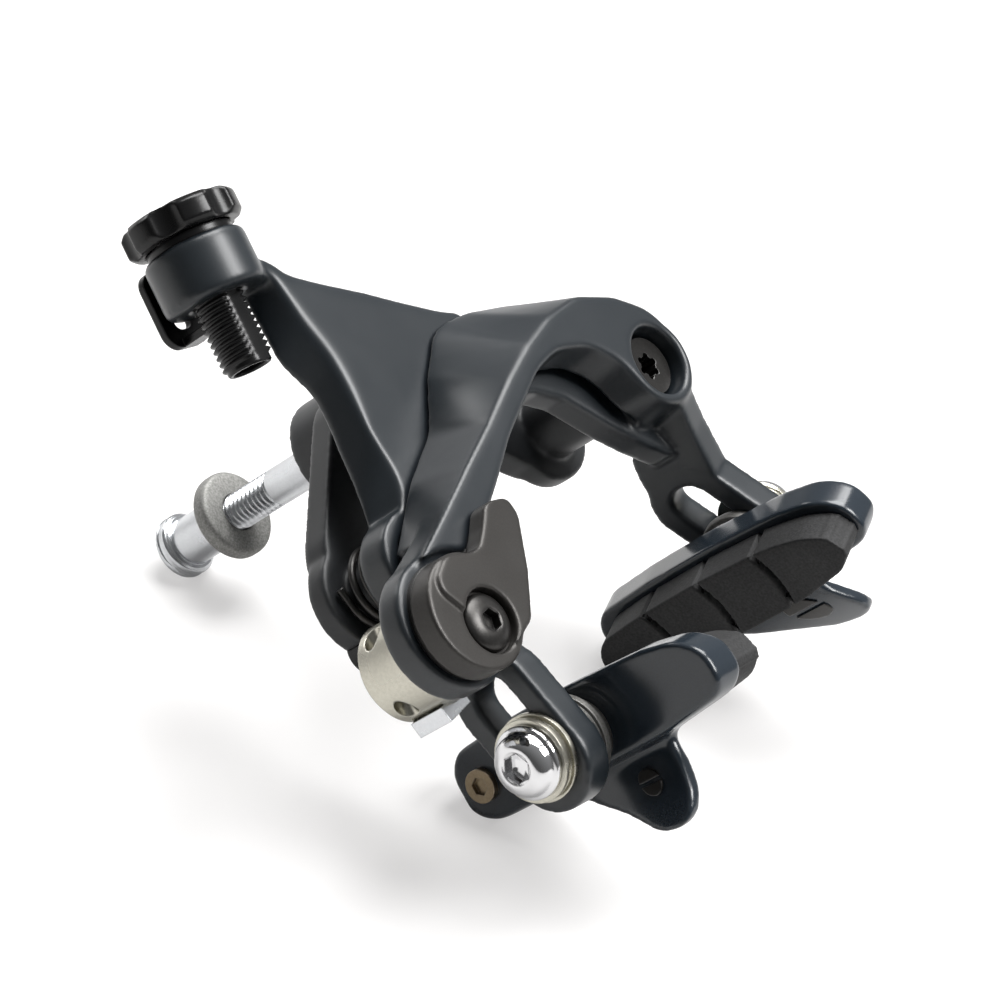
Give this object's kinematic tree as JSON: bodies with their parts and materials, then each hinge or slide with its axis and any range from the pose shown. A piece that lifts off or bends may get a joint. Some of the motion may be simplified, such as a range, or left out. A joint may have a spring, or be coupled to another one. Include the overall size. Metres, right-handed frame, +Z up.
{
  "type": "bicycle rim brake caliper",
  "caption": "Symmetric dual pivot rim brake caliper with a mounting bolt, barrel adjuster, quick release and slotted pad holders.",
  "frame": {"origin": "mounting bolt's axis in the bracket's rear face", "axes": "+X to the right seen from the front of the bicycle, +Y back along the mounting bolt to the fork, +Z up"},
  "size_m": [0.0988, 0.0944, 0.114],
  "materials": {
    "arm_paint": "satin dark blue-grey paint",
    "bracket_paint": "satin dark grey paint",
    "steel": "zinc plated steel",
    "sintered": "matte sintered steel",
    "chrome": "bright chrome plate",
    "nickel": "warm nickel plate",
    "dark_steel": "black oxide steel",
    "bronze": "bronze coloured steel",
    "bush": "plain bronze bush",
    "black_plastic": "semi-gloss black plastic",
    "lever_metal": "dark grey anodised aluminium",
    "pad_rubber": "matte black brake rubber"
  },
  "bodies": {
    "bracket": {"bracket": "bracket_paint", "mounting_bolt": "steel", "fork_washer": "sintered", "sunken_nut": "steel", "far_pivot_bolt": "dark_steel", "near_pivot_bolt": "dark_steel", "return_spring": "dark_steel", "spring_cap": "black_plastic"},
    "long_arm": {"long_arm": "arm_paint", "far_pivot_bush": "bush", "cable_anchor": "nickel", "clamp_plate": "steel", "qr_washer": "dark_steel", "qr_bolt": "dark_steel"},
    "short_arm": {"short_arm": "arm_paint", "near_pivot_bush": "bush", "roller_pin": "steel", "adjuster_collar": "black_plastic", "adjuster_clip": "black_plastic"},
    "roller": {"roller": "steel"},
    "qr_lever": {"qr_lever": "lever_metal"},
    "adjuster_knob": {"adjuster_knob": "black_plastic"},
    "adjuster_rod": {"adjuster_rod": "black_plastic"},
    "near_pad_stud": {"near_pad_bolt": "chrome", "near_outer_washers": "nickel", "near_inner_washers": "nickel"},
    "near_pad": {"near_pad_holder": "arm_paint", "near_pad_rubber": "pad_rubber", "near_wheel_guide": "arm_paint", "near_guide_screw": "dark_steel", "near_rubber_screw": "bronze"},
    "far_pad_stud": {"far_pad_bolt": "chrome", "far_outer_washers": "nickel", "far_inner_washers": "nickel"},
    "far_pad": {"far_pad_holder": "arm_paint", "far_pad_rubber": "pad_rubber", "far_wheel_guide": "arm_paint", "far_guide_screw": "dark_steel", "far_rubber_screw": "bronze"}
  },
  "joints": [
    {"name": "long_arm_pivot", "type": "hinge", "parent": "bracket", "child": "long_arm", "pos_m": [0.0282, -0.033, -0.0173], "axis": [0, 1, 0], "range_deg": [0, 12.5], "stiffness_Nm_per_rad": 1.2, "springref_deg": -8.59},
    {"name": "short_arm_pivot", "type": "hinge", "parent": "bracket", "child": "short_arm", "pos_m": [-0.0282, -0.024, -0.0173], "axis": [0, -1, 0], "range_deg": [0, 12.5]},
    {"name": "roller_spin", "type": "hinge", "parent": "short_arm", "child": "roller", "pos_m": [0.0008, -0.0287, -0.0026], "axis": [0, 1, 0], "continuous": true},
    {"name": "quick_release", "type": "hinge", "parent": "long_arm", "child": "qr_lever", "pos_m": [-0.0439, -0.041, -0.0268], "axis": [0, 1, 0], "range_deg": [0, 50]},
    {"name": "adjuster_turn", "type": "hinge", "parent": "short_arm", "child": "adjuster_knob", "pos_m": [-0.0229, -0.022, 0.0413], "axis": [0.2689, 0, 0.9632], "range_deg": [-573, 1833]},
    {"name": "adjuster_travel", "type": "slide", "parent": "short_arm", "child": "adjuster_rod", "axis": [0.2689, 0, 0.9632], "range_m": [-0.0015, 0.005]},
    {"name": "near_pad_height", "type": "slide", "parent": "short_arm", "child": "near_pad_stud", "axis": [-0.2086, -0.2672, -0.9408], "range_m": [-0.0105, 0.0015]},
    {"name": "near_pad_turn", "type": "hinge", "parent": "near_pad_stud", "child": "near_pad", "pos_m": [-0.02738, -0.03041, -0.05058], "axis": [-0.9763, 0, 0.2164], "range_deg": [-15, 15]},
    {"name": "far_pad_height", "type": "slide", "parent": "long_arm", "child": "far_pad_stud", "axis": [0.2086, -0.2672, -0.9408], "range_m": [-0.0105, 0.0015]},
    {"name": "far_pad_turn", "type": "hinge", "parent": "far_pad_stud", "child": "far_pad", "pos_m": [0.02738, -0.03041, -0.05058], "axis": [0.9763, 0, 0.2164], "range_deg": [-15, 15]}
  ],
  "couplings": [
    {"joint": "short_arm_pivot", "follows": "long_arm_pivot", "ratio": 1},
    {"joint": "adjuster_turn", "follows": "adjuster_travel", "rad_per_m": 6283.2}
  ]
}
